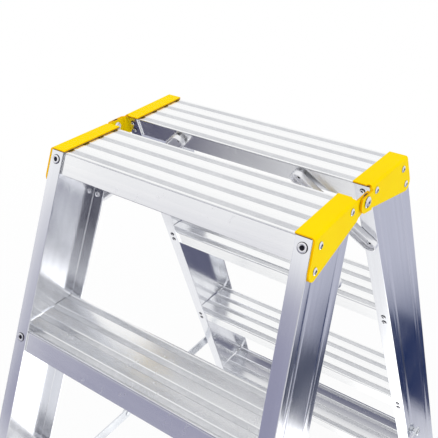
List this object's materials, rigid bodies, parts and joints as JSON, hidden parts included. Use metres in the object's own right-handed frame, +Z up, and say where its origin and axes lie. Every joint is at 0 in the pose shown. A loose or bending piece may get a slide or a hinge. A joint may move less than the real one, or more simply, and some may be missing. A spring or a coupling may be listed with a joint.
{
  "type": "trestle ladder",
  "caption": "Double-sided aluminium trestle ladder with grooved treads between channel stiles, hinged at the top by folded steel brackets and held open by folding side stays.",
  "frame": {"origin": "on the floor, midway between the four feet, under the hinge axis", "axes": "+Z up, +X along the treads to the right as seen from the front, +Y from the front frame to the rear frame"},
  "size_m": [0.4978, 0.961, 0.9425],
  "materials": {
    "aluminium_extrusion": "mill-finish extruded aluminium with fine draw lines",
    "aluminium_tread": "mill-finish extruded aluminium with pale lands and darker grooves",
    "aluminium_pressing": "plain pressed aluminium",
    "yellow_powder_coat": "yellow powder coat, semi-gloss",
    "rivet_metal": "bright plated rivets",
    "zinc_steel": "zinc-plated steel strip",
    "black_rubber": "matt black moulded rubber",
    "black_plastic": "plain dark washer"
  },
  "bodies": {
    "front_frame": {"front_left_stile": "aluminium_extrusion", "front_right_stile": "aluminium_extrusion", "front_tread_1": "aluminium_tread", "front_tread_2": "aluminium_tread", "front_tread_3": "aluminium_tread", "front_tread_4": "aluminium_tread", "front_left_hinge_bracket": "yellow_powder_coat", "front_right_hinge_bracket": "yellow_powder_coat", "front_bracket_rivets": "rivet_metal", "front_tread_tube_rivets": "rivet_metal", "front_tread_inner_rivets": "rivet_metal", "front_left_top_brace": "aluminium_pressing", "front_left_bottom_brace": "aluminium_pressing", "front_right_top_brace": "aluminium_pressing", "front_right_bottom_brace": "aluminium_pressing", "front_brace_rivets": "rivet_metal", "front_left_foot": "black_rubber", "front_right_foot": "black_rubber", "front_foot_rivets": "rivet_metal", "front_spreader_pivots": "zinc_steel", "left_hinge_pivot": "rivet_metal", "right_hinge_pivot": "rivet_metal", "hinge_washers": "black_plastic"},
    "rear_frame": {"rear_left_stile": "aluminium_extrusion", "rear_right_stile": "aluminium_extrusion", "rear_tread_1": "aluminium_tread", "rear_tread_2": "aluminium_tread", "rear_tread_3": "aluminium_tread", "rear_tread_4": "aluminium_tread", "rear_left_hinge_bracket": "yellow_powder_coat", "rear_right_hinge_bracket": "yellow_powder_coat", "rear_bracket_rivets": "rivet_metal", "rear_tread_tube_rivets": "rivet_metal", "rear_tread_inner_rivets": "rivet_metal", "rear_left_top_brace": "aluminium_pressing", "rear_left_bottom_brace": "aluminium_pressing", "rear_right_top_brace": "aluminium_pressing", "rear_right_bottom_brace": "aluminium_pressing", "rear_brace_rivets": "rivet_metal", "rear_left_foot": "black_rubber", "rear_right_foot": "black_rubber", "rear_foot_rivets": "rivet_metal", "rear_spreader_pivots": "zinc_steel"},
    "left_front_arm": {"left_front_spreader_arm": "zinc_steel", "left_knuckle_rivet_inner": "zinc_steel"},
    "left_rear_arm": {"left_rear_spreader_arm": "zinc_steel", "left_knuckle_rivet_outer": "zinc_steel"},
    "right_front_arm": {"right_front_spreader_arm": "zinc_steel", "right_knuckle_rivet_inner": "zinc_steel"},
    "right_rear_arm": {"right_rear_spreader_arm": "zinc_steel", "right_knuckle_rivet_outer": "zinc_steel"}
  },
  "joints": [
    {"name": "top_hinge", "type": "hinge", "parent": "front_frame", "child": "rear_frame", "pos_m": [0, 0, 0.9315], "axis": [-1, 0, 0], "range_deg": [0, 42]},
    {"name": "left_front_stay_pivot", "type": "hinge", "parent": "front_frame", "child": "left_front_arm", "pos_m": [0, -0.26754, 0.35], "axis": [1, 0, 0], "range_deg": [0, 60.1]},
    {"name": "left_rear_stay_pivot", "type": "hinge", "parent": "rear_frame", "child": "left_rear_arm", "pos_m": [0, 0.26754, 0.35], "axis": [-1, 0, 0], "range_deg": [0, 60.1]},
    {"name": "right_front_stay_pivot", "type": "hinge", "parent": "front_frame", "child": "right_front_arm", "pos_m": [0, -0.26754, 0.35], "axis": [1, 0, 0], "range_deg": [0, 60.1]},
    {"name": "right_rear_stay_pivot", "type": "hinge", "parent": "rear_frame", "child": "right_rear_arm", "pos_m": [0, 0.26754, 0.35], "axis": [-1, 0, 0], "range_deg": [0, 60.1]}
  ],
  "couplings": [
    {"joint": "left_front_stay_pivot", "follows": "top_hinge", "ratio": 1.43},
    {"joint": "left_rear_stay_pivot", "follows": "top_hinge", "ratio": 1.43},
    {"joint": "right_front_stay_pivot", "follows": "top_hinge", "ratio": 1.43},
    {"joint": "right_rear_stay_pivot", "follows": "top_hinge", "ratio": 1.43}
  ]
}
